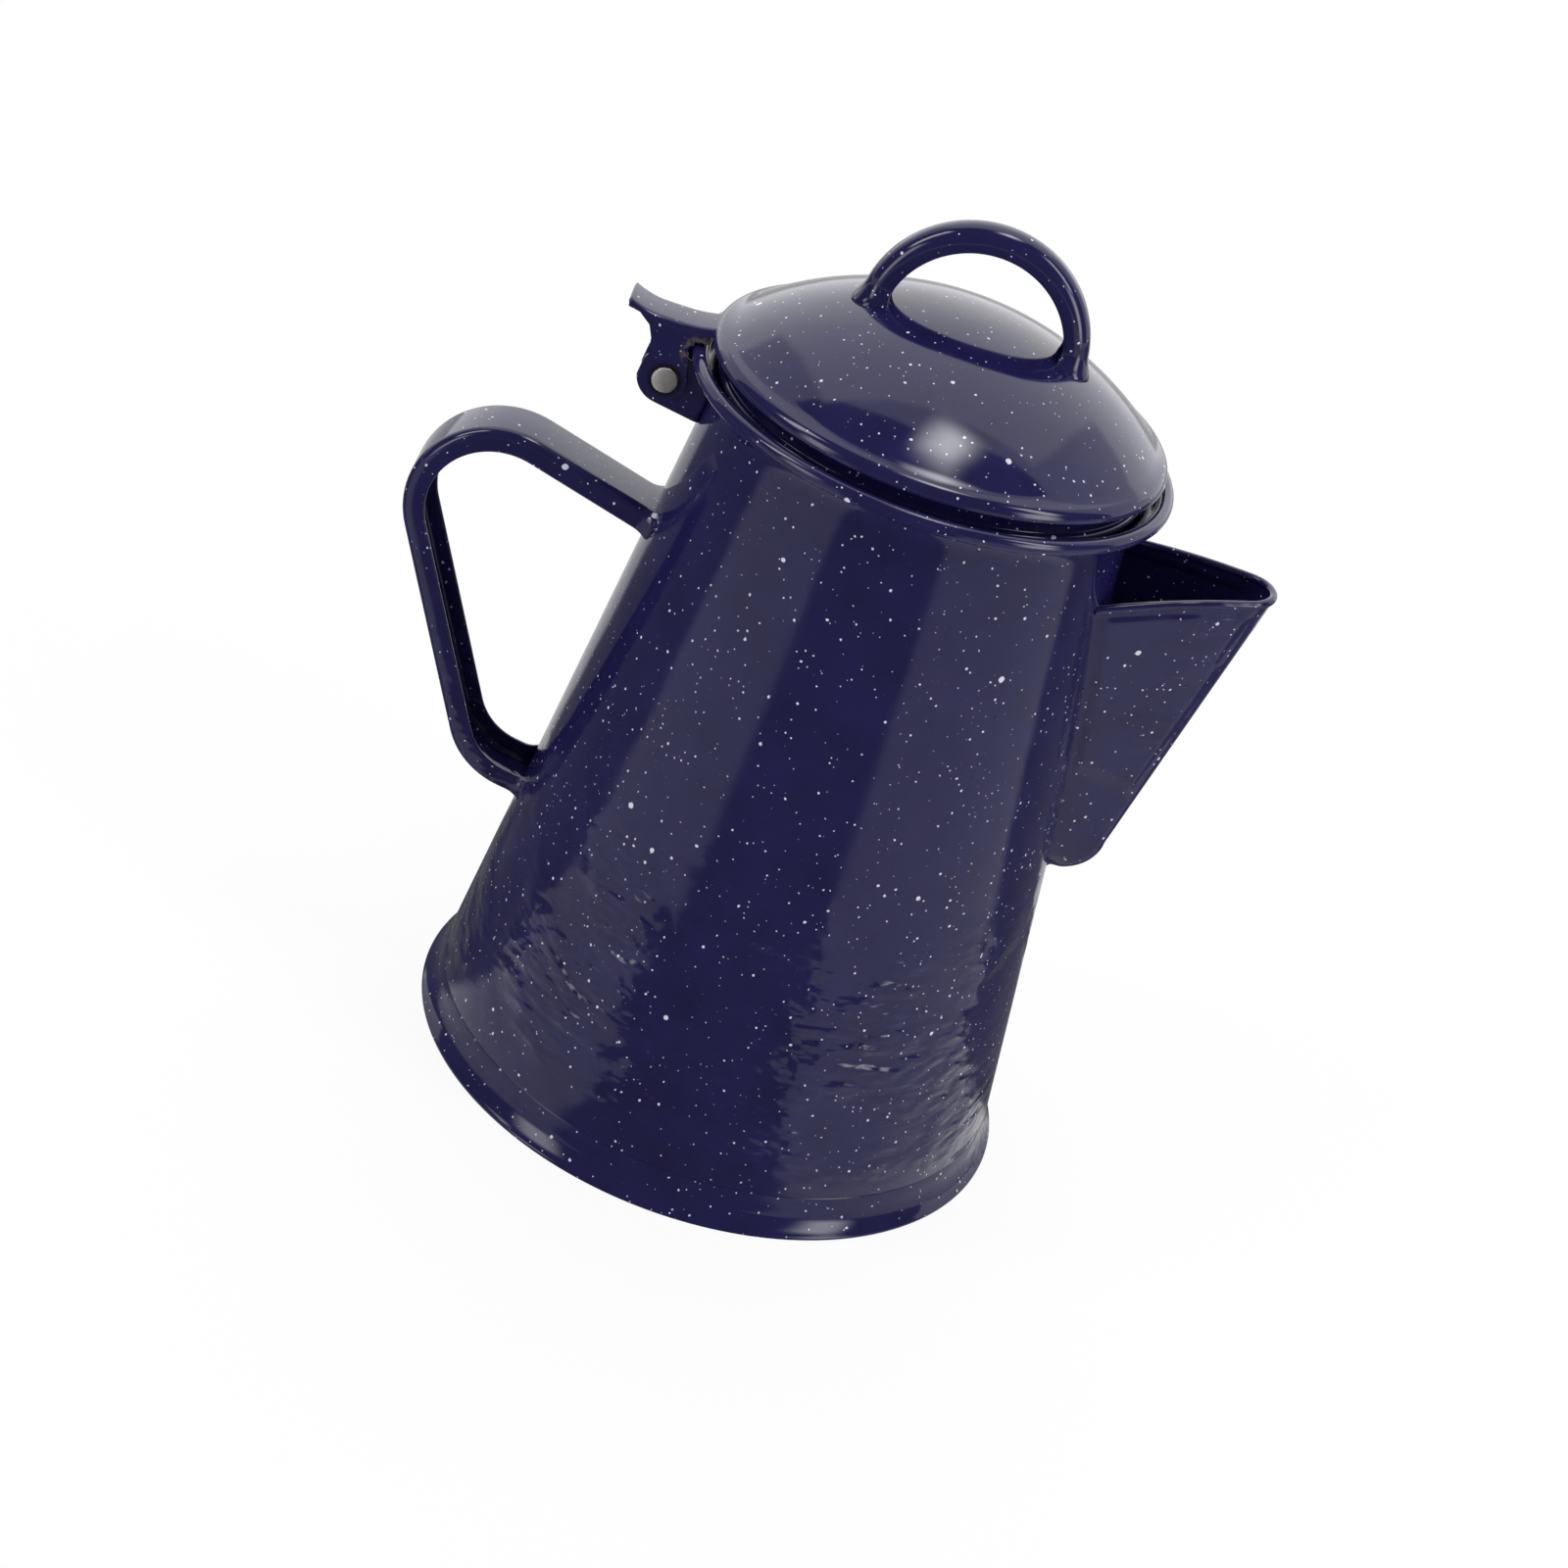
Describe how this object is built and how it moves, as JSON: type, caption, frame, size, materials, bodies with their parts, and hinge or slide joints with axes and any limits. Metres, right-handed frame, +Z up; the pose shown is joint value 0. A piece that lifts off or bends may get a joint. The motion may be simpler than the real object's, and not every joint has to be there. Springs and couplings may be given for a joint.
{
  "type": "coffee pot",
  "caption": "Tapered enamelled steel coffee pot with a folded spout, a channel handle and a hinged domed lid with a loop.",
  "frame": {"origin": "on the body's axis, at the surface the pot stands on", "axes": "+Z up along the body's axis, +X towards the spout, the handle on -X and the hinge pin along Y"},
  "size_m": [0.182, 0.1362, 0.2095],
  "materials": {
    "speckled_enamel": "glossy dark blue vitreous enamel with fine white speckles",
    "bare_rivet_steel": "bare satin steel rivet"
  },
  "bodies": {
    "pot": {"body_wall": "speckled_enamel", "base_pan": "speckled_enamel", "spout": "speckled_enamel", "handle": "speckled_enamel", "hinge_bracket": "speckled_enamel", "hinge_pin": "bare_rivet_steel"},
    "lid": {"lid_dome": "speckled_enamel", "lid_skirt": "speckled_enamel", "lid_handle": "speckled_enamel", "lid_hinge_strap": "speckled_enamel"}
  },
  "joints": [
    {"name": "lid_hinge", "type": "hinge", "parent": "pot", "child": "lid", "pos_m": [-0.0558, 0, 0.1569], "axis": [0, -1, 0], "range_deg": [0, 160]}
  ]
}
